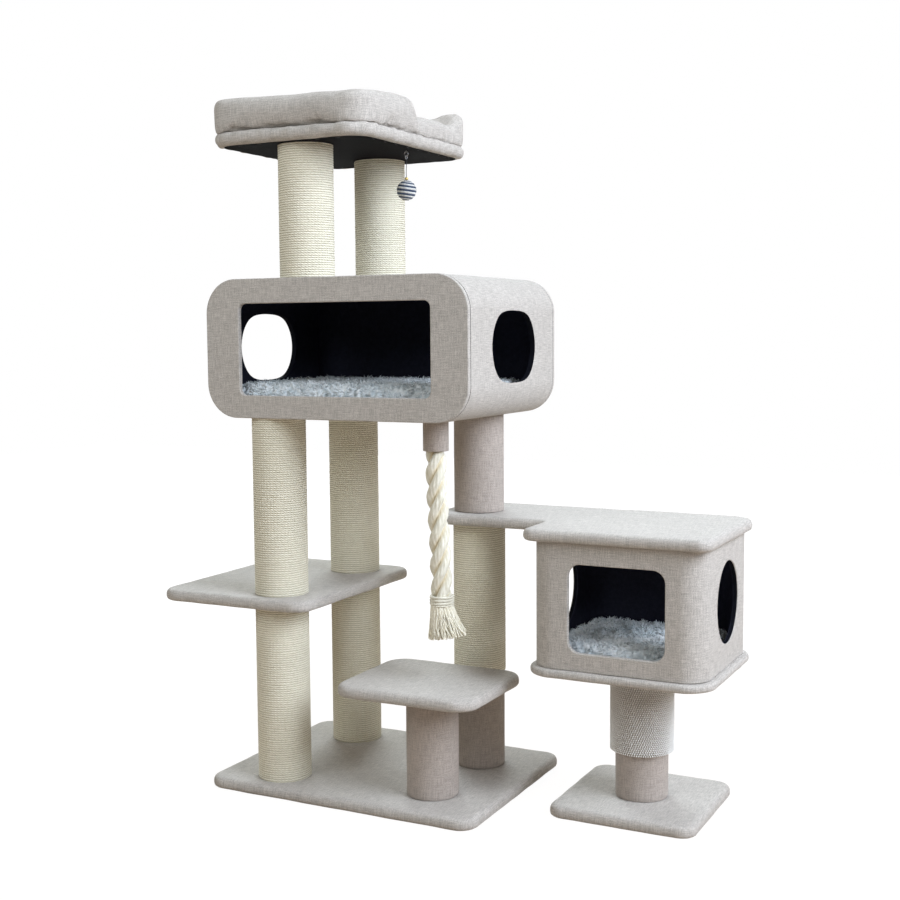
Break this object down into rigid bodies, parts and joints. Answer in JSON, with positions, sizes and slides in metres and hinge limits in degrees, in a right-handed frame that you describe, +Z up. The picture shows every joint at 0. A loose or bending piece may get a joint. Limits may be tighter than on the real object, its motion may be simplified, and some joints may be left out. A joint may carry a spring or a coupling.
{
  "type": "cat tree",
  "caption": "Tall floor-standing cat tree with sisal posts, a box condo, padded perch, shelf, step, side cabin on its own base, hanging rope and a swinging ball toy.",
  "frame": {"origin": "middle of the main base board's underside, on the floor", "axes": "+Z up; -Y is the front, where both windows are; +X points from the tower to the side cabin"},
  "size_m": [1.2482, 0.512, 1.5303],
  "materials": {
    "covered_board": "board covered with light warm grey linen-look upholstery weave, matt",
    "covered_post": "card tube covered with pinkish taupe linen-look weave, matt",
    "post_fabric": "pinkish taupe linen-look weave, matt",
    "linen_cushion": "padded light warm grey linen-look weave, matt",
    "fur_cushion": "deep white faux fur with a cool tinge",
    "sisal_winding": "cream sisal rope wound in close turns",
    "card_tube": "brown spiral-wound card",
    "zinc_steel": "zinc-plated steel",
    "brush_plastic": "white moulded plastic with rows of soft nubs",
    "cotton_rope": "natural cream twisted cotton",
    "dark_cord": "thin dark braided cord",
    "brass_bead": "polished gold tone",
    "wound_yarn": "ball wound with blue-grey and white yarn in stripes"
  },
  "bodies": {
    "tower": {"back_left_base_bolt": "zinc_steel", "back_left_condo_bolt": "zinc_steel", "back_left_lower_core": "card_tube", "back_left_lower_sisal": "sisal_winding", "back_left_upper_core": "card_tube", "back_left_upper_sisal": "sisal_winding", "back_perch_bolt": "zinc_steel", "back_roof_bolt": "zinc_steel", "back_shelf_stud": "zinc_steel", "back_top_core": "card_tube", "back_top_sisal": "sisal_winding", "bridge_board": "covered_board", "bridge_stud": "zinc_steel", "brush_sleeve": "brush_plastic", "cabin_base_board": "covered_board", "cabin_base_bolt": "zinc_steel", "cabin_cushion": "fur_cushion", "cabin_floor_board": "covered_board", "cabin_floor_bolt": "zinc_steel", "cabin_post": "covered_post", "cabin_wall": "covered_board", "column_base_bolt": "zinc_steel", "column_condo_bolt": "zinc_steel", "column_lower_core": "card_tube", "column_lower_cover": "post_fabric", "column_middle_sisal": "sisal_winding", "column_upper_post": "covered_post", "condo_back_panel": "covered_board", "condo_cushion": "fur_cushion", "condo_front_panel": "covered_board", "condo_wall": "covered_board", "front_left_base_bolt": "zinc_steel", "front_left_condo_bolt": "zinc_steel", "front_left_lower_core": "card_tube", "front_left_lower_sisal": "sisal_winding", "front_left_upper_core": "card_tube", "front_left_upper_sisal": "sisal_winding", "front_perch_bolt": "zinc_steel", "front_roof_bolt": "zinc_steel", "front_shelf_stud": "zinc_steel", "front_top_core": "card_tube", "front_top_sisal": "sisal_winding", "left_shelf_board": "covered_board", "main_base_board": "covered_board", "perch_board": "covered_board", "perch_bolster": "linen_cushion", "perch_pad": "linen_cushion", "rope_collar": "covered_post", "step_base_bolt": "zinc_steel", "step_board": "covered_board", "step_post": "covered_post", "step_stud": "zinc_steel", "toy_screw_eye": "zinc_steel"},
    "hanging_rope": {"rope": "cotton_rope", "rope_whipping": "cotton_rope", "rope_tassel": "cotton_rope"},
    "toy_ring": {"toy_ring": "zinc_steel"},
    "toy_pendulum": {"toy_cord": "dark_cord", "toy_bead": "brass_bead"},
    "toy_ball": {"toy_ball": "wound_yarn"}
  },
  "joints": [
    {"name": "rope_swing", "type": "hinge", "parent": "tower", "child": "hanging_rope", "pos_m": [0.194, -0.122, 0.7737], "axis": [0, 1, 0], "range_deg": [-15, 15]},
    {"name": "toy_ring_swing", "type": "hinge", "parent": "tower", "child": "toy_ring", "pos_m": [0.05, 0.0225, 1.4174], "axis": [1, 0, 0], "range_deg": [-40, 40]},
    {"name": "toy_cord_swing", "type": "hinge", "parent": "toy_ring", "child": "toy_pendulum", "pos_m": [0.05, 0.0225, 1.4106], "axis": [0, 1, 0], "range_deg": [-45, 45]},
    {"name": "toy_ball_spin", "type": "hinge", "parent": "toy_pendulum", "child": "toy_ball", "pos_m": [0.05, 0.0225, 1.3415], "axis": [0, 0, 1], "continuous": true}
  ]
}
